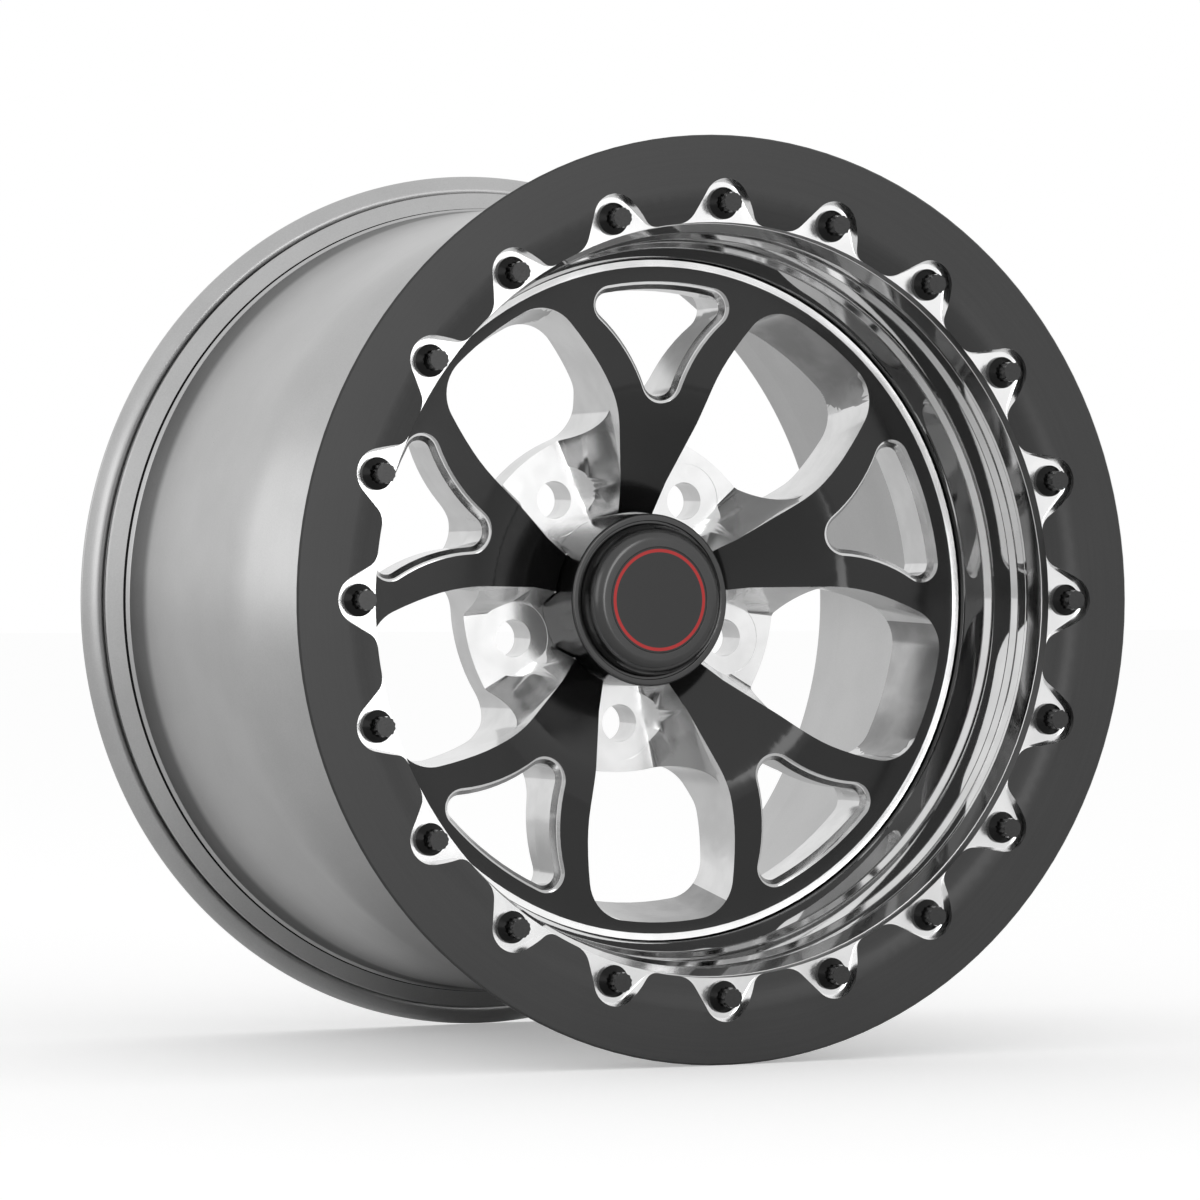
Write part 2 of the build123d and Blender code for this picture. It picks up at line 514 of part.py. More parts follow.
def window_throat():
    """Straight-sided end of the large window, from its widest place in to the cap."""
    straight_end = window_side(WINDOW_INNER_BEND, PAD_RADIUS)
    slope = tan(asin((WINDOW_WIDEST_RADIUS - PAD_RADIUS) / WINDOW_INNER_BEND))
    near = (CAP_SEAT_RADIUS, straight_end[1] - (PAD_RADIUS - CAP_SEAT_RADIUS) * slope)
    widest = (WINDOW_WIDEST_RADIUS, WINDOW_HALF_WIDTH)
    middle = window_side(WINDOW_INNER_BEND, (PAD_RADIUS + WINDOW_WIDEST_RADIUS) / 2)
    return make_face([
        Line(near, straight_end),
        ThreePointArc(straight_end, middle, widest),
        Line(widest, mirrored(widest)),
        ThreePointArc(mirrored(widest), mirrored(middle), mirrored(straight_end)),
        Line(mirrored(straight_end), mirrored(near)),
        Line(mirrored(near), near),
    ])


def window_opening():
    """Cutter for one large window at angle 0, with its outer end wall drafted."""
    draft = tan(radians(WINDOW_END_DRAFT))
    front_end = WINDOW_END_RADIUS + RIM_GROOVE_DEPTH * draft
    back_outline = window_outline(WINDOW_END_RADIUS - (SPOKE_BACK_DEPTH - CENTRE_FACE_DEPTH) * draft)
    drafted = lofted(
        window_outline(front_end), CENTRE_FACE_DEPTH - RIM_GROOVE_DEPTH, back_outline, SPOKE_BACK_DEPTH
    )
    return drafted + through(back_outline, SPOKE_BACK_DEPTH, MOUNT_DEPTH)


def lug_pocket():
    """Cutter for the tapered pocket between two spokes, down to the lug seat, at angle 0."""
    front = CENTRE_FACE_DEPTH - RIM_GROOVE_DEPTH
    foot_depth = LUG_FLOOR_DEPTH - POCKET_FOOT
    lean = (foot_depth - front) * tan(radians(POCKET_WALL_DRAFT))
    taper = lofted(lug_pocket_floor(lean), front, lug_pocket_floor(0), foot_depth)
    foot = lofted(lug_pocket_floor(0), foot_depth, lug_pocket_floor(-POCKET_FOOT), LUG_FLOOR_DEPTH)
    return (taper + foot) & through(window_throat(), front, LUG_FLOOR_DEPTH)


def lug_hole():
    """Cutter for a lug hole at angle 0, with its spotface."""
    lug_radius = LUG_CIRCLE_DIAMETER / 2
    spotface = round_hole(
        LUG_SPOTFACE_DIAMETER / 2, lug_radius, CENTRE_FACE_DEPTH, LUG_FLOOR_DEPTH + LUG_SPOTFACE_DEPTH
    )
    return spotface + round_hole(LUG_HOLE_DIAMETER / 2, lug_radius, LUG_FLOOR_DEPTH, MOUNT_DEPTH)


def triangle_outline(spread):
    """Three-cornered window at angle 0, wider by spread all round."""
    apex = (TRIANGLE_APEX_RADIUS, 0)
    apex_round = TRIANGLE_APEX_ROUND + spread
    corner_round = TRIANGLE_CORNER_ROUND + spread
    end_radius = TRIANGLE_END_RADIUS + spread
    corner = arc_point((0, 0), end_radius - corner_round, TRIANGLE_CORNER_ANGLE)
    end = arc_point((0, 0), end_radius, TRIANGLE_CORNER_ANGLE)
    side_bend = TRIANGLE_SIDE_BEND - spread
    side_centre = crossing(apex, apex_round + side_bend, corner, corner_round + side_bend)
    low = towards(side_centre, apex, side_bend)
    high = towards(side_centre, corner, side_bend)
    side_middle = towards(side_centre, ((low[0] + high[0]) / 2, (low[1] + high[1]) / 2), side_bend)
    bulge = towards(corner, ((end[0] + high[0]) / 2, (end[1] + high[1]) / 2), corner_round)
    return make_face([
        ThreePointArc(mirrored(low), (TRIANGLE_APEX_RADIUS - apex_round, 0), low),
        ThreePointArc(low, side_middle, high),
        ThreePointArc(high, bulge, end),
        ThreePointArc(end, (end_radius, 0), mirrored(end)),
        ThreePointArc(mirrored(end), mirrored(bulge), mirrored(high)),
        ThreePointArc(mirrored(high), mirrored(side_middle), mirrored(low)),
    ])


def triangle_window():
    """Cutter for one three-cornered window at angle 0: ledge, bevel, opening and hollow back."""
    ledge_depth = CENTRE_FACE_DEPTH + TRIANGLE_LEDGE_DEPTH
    bevel_end = ledge_depth + TRIANGLE_BEVEL_DEPTH
    opening = -TRIANGLE_LEDGE_WIDTH - TRIANGLE_BEVEL_WIDTH
    ledge = through(triangle_outline(0), CENTRE_FACE_DEPTH - RIM_GROOVE_DEPTH, ledge_depth)
    bevel = lofted(
        triangle_outline(-TRIANGLE_LEDGE_WIDTH), ledge_depth, triangle_outline(opening), bevel_end
    )
    hole = through(triangle_outline(opening), bevel_end, MOUNT_DEPTH)
    hollow = through(
        triangle_outline(opening + TRIANGLE_BACK_MARGIN), CENTRE_FACE_DEPTH + TRIANGLE_WEB, MOUNT_DEPTH
    )
    return ledge + bevel + hole + hollow


def wheel_centre():
    """Forging with five forked spokes, a hub disc and an outer band."""
    pilot_radius = HUB_PILOT_DIAMETER / 2
    pilot_depth = MOUNT_DEPTH - HUB_PILOT_LENGTH
    blank = turned(
        (HUB_BORE_RADIUS, CENTRE_FACE_DEPTH + DISH_DROP, 0),
        (FACE_FLAT_RADIUS, CENTRE_FACE_DEPTH, FACE_BLEND),
        (CENTRE_RADIUS - RIM_LINE_WIDTH, CENTRE_FACE_DEPTH, 0),
        (CENTRE_RADIUS, CENTRE_FACE_DEPTH - RIM_LINE_RISE, 0),
        (CENTRE_RADIUS, BAND_BACK_DEPTH, EDGE_ROUND),
        (SPOKE_BACK_RADIUS, SPOKE_BACK_DEPTH, SPOKE_BACK_BLEND),
        (PAD_RADIUS, MOUNT_DEPTH - PAD_RADIUS + MOUNT_FACE_RADIUS, BEND_ROUND),
        (MOUNT_FACE_RADIUS, MOUNT_DEPTH, EDGE_ROUND),
        (pilot_radius, MOUNT_DEPTH, EDGE_BREAK),
        (pilot_radius, pilot_depth, 0),
        (CAP_SEAT_RADIUS, pilot_depth, 0),
        (CAP_SEAT_RADIUS, LUG_FLOOR_DEPTH, 0),
        (HUB_BORE_RADIUS, LUG_FLOOR_DEPTH, 0),
    )
    cuts = around(window_opening(), WINDOW_ANGLES) + around(lug_pocket(), WINDOW_ANGLES)
    cuts += around(lug_hole(), WINDOW_ANGLES) + around(triangle_window(), SPOKE_ANGLES)
    return blank - cuts


def centre_cap():
    """Hollow cap: skirt, rim line, domed front with a round recess, and a spigot that plugs into the hub."""
    spigot_radius = CAP_SEAT_RADIUS - 2 * FIT_CLEARANCE
    spigot_end = LUG_FLOOR_DEPTH + CAP_SPIGOT_LENGTH
    groove_middle = LUG_FLOOR_DEPTH + CAP_SPIGOT_LENGTH / 2
    groove_floor = CAP_SEAT_RADIUS - O_RING_THICKNESS
    inside = groove_floor - CAP_WALL
    medallion_depth = CAP_FRONT_DEPTH + MEDALLION_THICKNESS
    return turned(
        (0, medallion_depth, 0),
        (MEDALLION_RADIUS, medallion_depth, 0),
        (MEDALLION_RADIUS, CAP_FRONT_DEPTH, EDGE_BREAK / 2),
        (CAP_DOME_RADIUS - CAP_DOME_ROUND / 3, CAP_FRONT_DEPTH, CAP_DOME_ROUND),
        (CAP_DOME_RADIUS, CAP_RIM_DEPTH, EDGE_BREAK),
        (CAP_DOME_RADIUS, CAP_RIM_DEPTH + CAP_GROOVE_DEPTH, 0),
        (CAP_DOME_RADIUS + CAP_GROOVE_DEPTH, CAP_RIM_DEPTH + CAP_GROOVE_DEPTH, 0),
        (CAP_DOME_RADIUS + CAP_GROOVE_DEPTH, CAP_RIM_DEPTH, EDGE_BREAK),
        (CAP_SKIRT_RADIUS, CAP_RIM_DEPTH, CAP_RIM_ROUND),
        (CAP_SKIRT_RADIUS, LUG_FLOOR_DEPTH, EDGE_BREAK),
        (spigot_radius, LUG_FLOOR_DEPTH, 0),
        (spigot_radius, groove_middle - O_RING_THICKNESS / 2, 0),
        (groove_floor, groove_middle - O_RING_THICKNESS / 2, 0),
        (groove_floor, groove_middle + O_RING_THICKNESS / 2, 0),
        (spigot_radius, groove_middle + O_RING_THICKNESS / 2, 0),
        (spigot_radius, spigot_end, EDGE_BREAK),
        (inside, spigot_end, EDGE_BREAK),
        (inside, medallion_depth + CAP_WALL, CAP_DOME_ROUND / 2),
        (0, medallion_depth + CAP_WALL, 0),
    )


def cap_medallion():
    """Thin round plate in the cap's recess."""
    return turned(
        (0, CAP_FRONT_DEPTH, 0),
        (MEDALLION_RADIUS - FIT_CLEARANCE, CAP_FRONT_DEPTH, EDGE_BREAK / 2),
        (MEDALLION_RADIUS - FIT_CLEARANCE, CAP_FRONT_DEPTH + MEDALLION_THICKNESS, 0),
        (0, CAP_FRONT_DEPTH + MEDALLION_THICKNESS, 0),
    )


def cap_o_ring():
    """Rubber ring between the cap's spigot and the hub."""
    middle = LUG_FLOOR_DEPTH + CAP_SPIGOT_LENGTH / 2 - MOUNT_DEPTH
    section = Pos(CAP_SEAT_RADIUS - O_RING_THICKNESS / 2, middle) * Circle(O_RING_THICKNESS / 2)
    return revolve(section, Axis.Y)


NODES = (
    beadlock_ring, beadlock_bolts, thread_inserts, beadlock_flange, outer_rim_half, rim_seam,
    inner_rim_half, wheel_centre, centre_cap, cap_medallion, cap_o_ring,
)


def main():
    os.makedirs("parts", exist_ok=True)
    for make in NODES:
        shape = make()
        shape.label = make.__name__
        export_step(shape, f"parts/{make.__name__}.step")


main()
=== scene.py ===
from math import atan2, ceil, cos, degrees, hypot, pi, radians, sin, tan

import bmesh
import bpy
from mathutils import Matrix, Vector


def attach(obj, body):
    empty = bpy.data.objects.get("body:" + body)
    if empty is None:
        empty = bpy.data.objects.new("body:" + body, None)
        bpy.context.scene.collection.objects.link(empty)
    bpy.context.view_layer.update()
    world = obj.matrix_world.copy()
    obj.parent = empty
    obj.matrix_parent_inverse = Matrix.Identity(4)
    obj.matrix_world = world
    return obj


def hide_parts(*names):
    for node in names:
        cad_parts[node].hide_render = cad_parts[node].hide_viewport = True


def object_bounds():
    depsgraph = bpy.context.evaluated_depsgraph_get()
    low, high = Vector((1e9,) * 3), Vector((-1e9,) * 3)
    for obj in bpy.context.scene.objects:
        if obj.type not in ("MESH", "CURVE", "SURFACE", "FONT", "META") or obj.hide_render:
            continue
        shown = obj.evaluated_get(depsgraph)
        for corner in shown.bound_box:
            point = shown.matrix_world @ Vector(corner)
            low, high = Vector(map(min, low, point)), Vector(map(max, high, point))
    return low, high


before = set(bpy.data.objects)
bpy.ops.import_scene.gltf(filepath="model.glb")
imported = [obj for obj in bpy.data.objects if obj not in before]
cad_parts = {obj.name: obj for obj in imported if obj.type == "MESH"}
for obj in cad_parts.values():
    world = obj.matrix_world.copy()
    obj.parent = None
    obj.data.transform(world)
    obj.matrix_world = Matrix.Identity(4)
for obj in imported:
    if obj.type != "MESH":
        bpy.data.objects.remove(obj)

# A bare beadlock wheel in a white studio. The axle line is Y and the front looks along -Y.
# Profiles and places on the wheel are given in millimetres: a radius from the axle line, and a
# depth that runs back from the clamp ring's front face. The studio is given in metres.

CAD_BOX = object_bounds()
MM = 0.001
MOUNT_DEPTH = 127.0            # ring face to the hub's mounting face, where the origin is
FRONT = Vector((0, -1, 0))
TURN_STEPS = 256               # faces round a turned piece
ARC_STEP = 7.5                 # degrees for each face of a rounded corner
ARC_FACES = 3                  # fewest faces of a rounded corner
SHARP_ANGLE = radians(28)      # edges that bend more than this stay crisp
CAD_MERGE = 2e-6               # metres between corners of CAD triangles that are one corner
SPIN_MERGE = 1e-7              # the same for a turned piece
ON_AXLE = 1e-6                 # metres from the axle line that count as on it

# Camera, fitted to the photograph
VIEW_ANGLE = radians(25.9)     # to the left of the axle line
CAMERA_DISTANCE = 2.42         # from the centre of the ring's face
CAMERA_SIDE = 0.0567           # how far that centre lies right of the picture's middle
LENS, SENSOR = 162.6, 36.0     # millimetres
CLIP_NEAR, CLIP_FAR = 0.05, 200.0


def y_at(depth):
    """The frame's Y, in metres, at a depth."""
    return (depth - MOUNT_DEPTH) * MM


# Shader maths

NOISE_LOW, NOISE_HIGH = 0.3, 0.7                # noise seldom leaves this range
MIX_FIRST, MIX_SECOND, MIX_RESULT = 6, 7, 2     # colour sockets of a Mix node


def grey(level):
    return (level, level, level, 1)


class Value:
    """A socket in a node tree. Arithmetic on it adds Math nodes."""

    def __init__(self, tree, socket=None):
        self.tree = tree
        self.socket = socket

    def node(self, kind, settings=None, sockets=None, output=0):
        """Adds a node with its settings and its sockets' values or links, and gives an output."""
        made = self.tree.nodes.new(kind)
        for key, setting in (settings or {}).items():
            setattr(made, key, setting)
        for key, given in (sockets or {}).items():
            if isinstance(given, Value):
                self.tree.links.new(given.socket, made.inputs[key])
            else:
                made.inputs[key].default_value = given
        return Value(self.tree, made.outputs[output])

    def math(self, operation, *given):
        return self.node("ShaderNodeMath", {"operation": operation}, dict(enumerate(given)))

    def __add__(self, other):
        return self.math("ADD", self, other)

    def __sub__(self, other):
        return self.math("SUBTRACT", self, other)

    def __rsub__(self, other):
        return self.math("SUBTRACT", other, self)

    def __mul__(self, other):
        return self.math("MULTIPLY", self, other)

    __radd__ = __add__
    __rmul__ = __mul__

    def part(self, axis):
        """One of a vector's three numbers."""
        return self.node("ShaderNodeSeparateXYZ", sockets={0: self}, output=axis)

    def vector(self, x, y, z):
        return self.node("ShaderNodeCombineXYZ", sockets={"X": x, "Y": y, "Z": z})

    def ramp(self, low, high, start=0.0, end=1.0):
        """Smooth step from start to end as this runs from low to high."""
        return self.node("ShaderNodeMapRange", {"interpolation_type": "SMOOTHSTEP"}, {
            "Value": self, "From Min": low, "From Max": high, "To Min": start, "To Max": end,
        })

    def mix(self, first, second):
        """Colour between two others, with this as the share of the second."""
        colours = {"Factor": self, MIX_FIRST: first, MIX_SECOND: second}
        return self.node("ShaderNodeMix", {"data_type": "RGBA"}, colours, MIX_RESULT)

    def greys(self, dark, light):
        """Grey from dark to light, with this noise as the guide."""
        return self.ramp(NOISE_LOW, NOISE_HIGH).mix(grey(dark), grey(light))

    def noise(self, scale, detail):
        """Noise about 0.5 at this place, at a scale and with steps of finer detail."""
        return self.node(
            "ShaderNodeTexNoise", sockets={"Vector": self, "Scale": scale, "Detail": detail}
        )

    def end(self, output):
        """Makes this the surface of the tree's output node."""
        self.tree.links.new(self.socket, self.tree.nodes[output].inputs["Surface"])


class Finish(Value):
    """A surface finish: a material with its shader, and the place that its patterns vary with."""

    def __init__(self, name, **constants):
        self.material = bpy.data.materials.new(name)
        self.material.use_nodes = True
        super().__init__(self.material.node_tree)
        self.shader = self.tree.nodes["Principled BSDF"]
        self.place = self.node("ShaderNodeTexCoord", output="Object")
        for socket, number in constants.items():
            self.shader.inputs[socket.replace("_", " ")].default_value = number

    def set(self, socket, given):
        self.tree.links.new(given.socket, self.shader.inputs[socket])

    def bump(self, height, strength, distance):
        """Fine relief, with its distance in millimetres."""
        relief = {"Height": height, "Strength": strength, "Distance": distance * MM}
        self.set("Normal", self.node("ShaderNodeBump", sockets=relief))

    def radius(self):
        """Distance from the axle line, in metres."""
        across, up = self.place.part("X"), self.place.part("Z")
        return self.math("SQRT", across * across + up * up)

    def turned_place(self, along, around):
        """Place for turning marks: stretched round the axle line, fine along and across it."""
        angle = self.math("ARCTAN2", self.place.part("Z"), self.place.part("X"))
        return self.vector(self.radius() * along, self.place.part("Y") * along, angle * around)

    def milled_place(self, along, across):
        """Place for cutter marks: fine along the axle line, stretched across it."""
        return self.vector(
            self.place.part("X") * across, self.place.part("Y") * along,
            self.place.part("Z") * across,
        )


# Finishes

SEAT_FADE = (226.0, 235.0)     # depths between which the painted shade on the rear seat fades in
RED = (0.46, 0.014, 0.014, 1)
RED_LINE_RADIUS = 22.65        # middle of the medallion's red line
RED_LINE_WIDTH = 1.5
RED_LINE_BLUR = 0.08           # softness of its edges


def ring_black():
    """Satin black anodised aluminium, with faint turning marks."""
    finish = Finish("ring_black", Specular_IOR_Level=0.5)
    marks = finish.turned_place(along=900, around=3).noise(1.0, 3)
    grain = finish.place.noise(2600, 2)
    finish.set("Base Color", (grain * 0.6 + marks * 0.4).greys(0.019, 0.026))
    finish.set("Roughness", marks * 0.08 + grain * 0.06 + 0.28)
    finish.bump(grain * 0.5 + marks, strength=0.04, distance=0.03)
    return finish.material


def polished():
    """Mirror-polished aluminium, with the faint swirl that a wheel mop leaves."""
    finish = Finish("polished", Metallic=1.0)
    swirl = finish.turned_place(along=420, around=3).noise(1.0, 4)
    haze = finish.place.noise(60, 3)
    finish.set("Base Color", haze.greys(0.60, 0.66))
    finish.set("Roughness", swirl * 0.04 + haze * 0.03 + 0.01)
    finish.bump(swirl, strength=0.05, distance=0.02)
    return finish.material


def machined(name, dull, bright):
    """Milled aluminium between two levels of brightness, with fine cutter marks."""
    finish = Finish(name, Metallic=1.0)
    lines = finish.milled_place(along=1500, across=30).noise(1.0, 3)
    haze = finish.place.noise(60, 3)
    finish.set("Base Color", haze.greys(dull, bright))
    finish.set("Roughness", lines * 0.08 + haze * 0.10 + 0.08)
    finish.bump(lines, strength=0.08, distance=0.05)
    return finish.material


def satin(name, seat_shade_share):
    """Satin spun aluminium, with fine lines round the axle line and a soft mottle.

    The second argument says how much painted shade darkens it on the rear seat."""
    finish = Finish(name, Metallic=1.0)
    lines = finish.turned_place(along=1400, around=2).noise(1.0, 3)
    mottle = finish.place.noise(28, 4)
    grain = finish.place.noise(1500, 2)
    level = mottle * 0.5 + grain * 0.5
    fade_start, fade_end = SEAT_FADE
    # Painted shade: the rear seat darkens from the first fade depth to the second
    painted_seat_shade = finish.place.part("Y").ramp(y_at(fade_start), y_at(fade_end), 0.0, seat_shade_share)
    finish.set("Base Color", painted_seat_shade.mix(level.greys(0.42, 0.475), level.greys(0.15, 0.18)))
    finish.set("Roughness", lines * 0.10 + grain * 0.08 + 0.22)
    finish.bump(lines * 0.6 + grain * 0.4, strength=0.08, distance=0.06)
    return finish.material


def centre_black():
    """Glossy black coat on the spokes' faces."""
    finish = Finish("centre_black", Specular_IOR_Level=0.5)
    grain = finish.place.noise(2200, 2)
    cloud = finish.place.noise(35, 3)
    finish.set("Base Color", (grain * 0.6 + cloud * 0.4).greys(0.003, 0.005))
    finish.set("Roughness", cloud * 0.05 + grain * 0.05 + 0.08)
    finish.bump(grain, strength=0.03, distance=0.02)
    return finish.material


def cap_black():
    """Gloss black moulded cap."""
    finish = Finish("cap_black", Specular_IOR_Level=0.9)
    grain = finish.place.noise(3000, 2)
    cloud = finish.place.noise(80, 3)
    finish.set("Base Color", (grain * 0.5 + cloud * 0.5).greys(0.003, 0.005))
    finish.set("Roughness", cloud * 0.06 + grain * 0.06 + 0.14)
    finish.bump(grain, strength=0.03, distance=0.02)
    return finish.material


def medallion_print():
    """Dark round plate with a red line printed near its edge."""
    finish = Finish("medallion_print", Specular_IOR_Level=0.4)
    off_line = finish.math("ABSOLUTE", finish.radius() - RED_LINE_RADIUS * MM)
    edge, blur = RED_LINE_WIDTH / 2 * MM, RED_LINE_BLUR * MM
    on_line = off_line.ramp(edge - blur, edge + blur, 1.0, 0.0)
    grain = finish.place.noise(2500, 2)
    finish.set("Base Color", on_line.mix(grain.greys(0.018, 0.024), RED))
    finish.set("Roughness", grain * 0.1 + 0.30)
    finish.bump(on_line * 0.5 + grain * 0.1, strength=0.15, distance=0.05)
    return finish.material


def black_steel(name, level, gloss):
    """Black oxide steel, duller or brighter. It also makes the grooves' near-black painted shade
    and the bolt tops' lighter painted highlight.
    """
    finish = Finish(name, Specular_IOR_Level=gloss)
    grain = finish.place.noise(1800, 3)
    finish.set("Base Color", grain.greys(level * 0.8, level * 1.2))
    finish.set("Roughness", grain * 0.12 + 0.14)
    finish.bump(grain, strength=0.06, distance=0.04)
    return finish.material


def insert_steel():
    """Plain steel."""
    finish = Finish("insert_steel", Metallic=1.0)
    grain = finish.place.noise(900, 3)
    finish.set("Base Color", grain.greys(0.42, 0.5))
    finish.set("Roughness", grain * 0.2 + 0.3)
    return finish.material


def black_rubber():
    """Matt black rubber."""
    finish = Finish("black_rubber", Specular_IOR_Level=0.3)
    grain = finish.place.noise(1200, 3)
    finish.set("Base Color", grain.greys(0.012, 0.02))
    finish.set("Roughness", grain * 0.2 + 0.6)
    return finish.material


# Meshes

def shown(name, mesh):
    """An object in the scene from a bmesh, which is used up."""
    data = bpy.data.meshes.new(name)
    mesh.to_mesh(data)
    mesh.free()
    made = bpy.data.objects.new(name, data)
    bpy.context.scene.collection.objects.link(made)
    return made


def cad_copy(node):
    """The CAD node's mesh with its loose triangles merged."""
    mesh = bmesh.new()
    mesh.from_mesh(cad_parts[node].data)
    bmesh.ops.remove_doubles(mesh, verts=mesh.verts, dist=CAD_MERGE)
    mesh.normal_update()
    return mesh


def spun(corners):
    """Shell turned about the axle line, from corners of (radius, depth, roundness)."""
    mesh = bmesh.new()
    points = [Vector((radius * MM, y_at(depth), 0)) for radius, depth, _ in corners]
    outline = [mesh.verts.new(point) for point in points]
    mesh.faces.new(outline)
    for place, (_, _, roundness) in enumerate(corners):
        if not roundness:
            continue
        arriving = points[place] - points[place - 1]
        leaving = points[(place + 1) % len(points)] - points[place]
        turn = arriving.angle(leaving)
        bmesh.ops.bevel(
            mesh, geom=[outline[place]], offset=roundness * tan(turn / 2) * MM,
            offset_type="ABSOLUTE", affect="VERTICES",
            segments=max(ARC_FACES, ceil(degrees(turn) / ARC_STEP)), profile=0.5, material=-1,
        )
    bmesh.ops.delete(mesh, geom=mesh.faces[:], context="FACES_ONLY")
    on_axle = [edge for edge in mesh.edges if max(vert.co.x for vert in edge.verts) < ON_AXLE]
    bmesh.ops.delete(mesh, geom=on_axle, context="EDGES")
    bmesh.ops.spin(
        mesh, geom=mesh.verts[:] + mesh.edges[:], cent=(0, 0, 0), axis=(0, 1, 0), angle=2 * pi,
        steps=TURN_STEPS, use_merge=True,
    )
    bmesh.ops.remove_doubles(mesh, verts=mesh.verts, dist=SPIN_MERGE)
    bmesh.ops.recalc_face_normals(mesh, faces=mesh.faces)
    return mesh


def bored(mesh, cutter):
    """The mesh less a cutter's shape."""
    body, tool = shown("body", mesh), shown("tool", cutter)
    bore = body.modifiers.new("bore", "BOOLEAN")
    bore.operation, bore.solver, bore.object = "DIFFERENCE", "EXACT", tool
    finished = body.evaluated_get(bpy.context.evaluated_depsgraph_get())
    result = bmesh.new()
    result.from_mesh(finished.to_mesh())
    for spare in (body, tool):
        bpy.data.meshes.remove(spare.data)
    return result


# Which finish a face has, by its place in the piece's list of finishes

POCKET_FLOOR_DEPTHS = (4.4, 5.0)        # bolt pockets of the clamp ring
POCKET_FLOOR_LEAN = 2.0                 # degrees, at most
POCKET_WALL_DEPTHS = (-0.1, 4.8)
POCKET_WALL_RADII = (169.2, 190.0)
POCKET_WALL_LEANS = (55.0, 86.0)

BOLT_TOP_DEPTH = -6.0                   # a bolt's top lies in front of this
BOLT_TOP_LEAN = 5.0                     # degrees, at most

ON_FACE, ON_WALL, ON_FLOOR, ON_LEDGE, ON_WINDOW_END = range(5)
FACE_DEPTH = 65.0                       # flat front of the wheel centre
FACE_RADIUS = 152.4                     # a bright line runs round it outside this
FACE_LEAN = 40.0                        # degrees, at most
FACE_SLACK = 2.4                        # edges this far behind the front are black too
DISH_RADIUS = 90.0                      # inside this the front dishes in to the hub
DISH_SLOPE = 27.7 / 49.4                # drop of the dish over its width
FLOOR_LEAN = 20.0                       # degrees, at most
LEDGE_DEPTHS = (65.6, 67.2)             # ledges round the triangular windows
LEDGE_LEAN = 1.0                        # degrees, at most
PITCH = 72.0                            # degrees from spoke to spoke
WINDOW_ANGLE = 54.0                     # middle of a large window
WINDOW_END_RADII = (138.0, 149.0)       # wall at the outer end of a large window
WINDOW_END_DEPTH = 68.0                 # it lies behind this
WINDOW_END_REACH = 18.0                 # degrees to each side of the window's middle
WINDOW_END_INWARD = 0.75                # least cosine of its normal and the way to the axle line

LIP_GROOVE_RADIUS = 156.4               # the groove at the lip's foot lies inside this
LIP_GROOVE_DEPTHS = (60.9, 69.0)

ON_BARREL, ON_SEAT, IN_SEAT_GROOVE = range(3)
SEAT_RADII = (187.0, 189.5)             # where the tyre's rear bead sits
SEAT_DEPTHS = (225.0, 247.9)
SEAT_GROOVE_RADII = (188.9, 191.05)
SEAT_GROOVE_DEPTHS = (250.3, 252.7)


class Spot:
    """Where a face lies, and how many degrees it leans away from the front."""

    def __init__(self, face):
        self.normal = face.normal
        self.middle = face.calc_center_median()
        self.radius = hypot(self.middle.x, self.middle.z) / MM
        self.depth = self.middle.y / MM + MOUNT_DEPTH
        self.lean = degrees(self.normal.angle(FRONT, 0.0))


def within(number, limits):
    low, high = limits
    return low < number < high


def plain(spot):
    """A piece with one finish."""
    return 0


def in_bolt_pocket(spot):
    """Floor or wall of a pocket in the clamp ring."""
    floor = spot.lean < POCKET_FLOOR_LEAN and within(spot.depth, POCKET_FLOOR_DEPTHS)
    wall = (
        within(spot.lean, POCKET_WALL_LEANS) and within(spot.depth, POCKET_WALL_DEPTHS)
        and within(spot.radius, POCKET_WALL_RADII)
    )
    return floor or wall


def on_bolt_top(spot):
    """Top of a bolt, painted lighter as a highlight where it faces the front."""
    return spot.depth < BOLT_TOP_DEPTH and spot.lean < BOLT_TOP_LEAN


def on_window_end(spot):
    """Outer end wall of a large window, whose milled metal is painted darker as shade."""
    inward = Vector((-spot.middle.x, 0, -spot.middle.z)).normalized().dot(spot.normal)
    angle = degrees(atan2(spot.middle.z, spot.middle.x))
    off_window = abs((angle - WINDOW_ANGLE + PITCH / 2) % PITCH - PITCH / 2)
    return (
        inward > WINDOW_END_INWARD and within(spot.radius, WINDOW_END_RADII)
        and spot.depth > WINDOW_END_DEPTH and off_window < WINDOW_END_REACH
    )


def on_centre(spot):
    """Black on the front and its dish, milled metal behind.

    The floors of the lug pockets and the line round the front are the brightest, and the outer
    end walls of the large windows are painted darker as shade."""
    if on_window_end(spot):
        return ON_WINDOW_END
    if spot.lean < LEDGE_LEAN and within(spot.depth, LEDGE_DEPTHS):
        return ON_LEDGE
    front_depth = FACE_DEPTH + max(0.0, DISH_RADIUS - spot.radius) * DISH_SLOPE
    in_front = spot.radius < FACE_RADIUS and spot.depth < front_depth + FACE_SLACK
    if spot.lean < FACE_LEAN and in_front:
        return ON_FACE
    return ON_FLOOR if spot.lean < FLOOR_LEAN else ON_WALL


def in_lip_groove(spot):
    """Groove between the lip's foot and the wheel centre, painted near-black as shade."""
    return spot.radius < LIP_GROOVE_RADIUS and within(spot.depth, LIP_GROOVE_DEPTHS)


def on_barrel(spot):
    """Painted shade darkens where the tyre's rear bead sits, and the groove behind that seat is
    painted near-black as shade.
    """
    if within(spot.radius, SEAT_GROOVE_RADII) and within(spot.depth, SEAT_GROOVE_DEPTHS):
        return IN_SEAT_GROOVE
    if within(spot.radius, SEAT_RADII) and within(spot.depth, SEAT_DEPTHS):
        return ON_SEAT
    return ON_BARREL


# Pieces

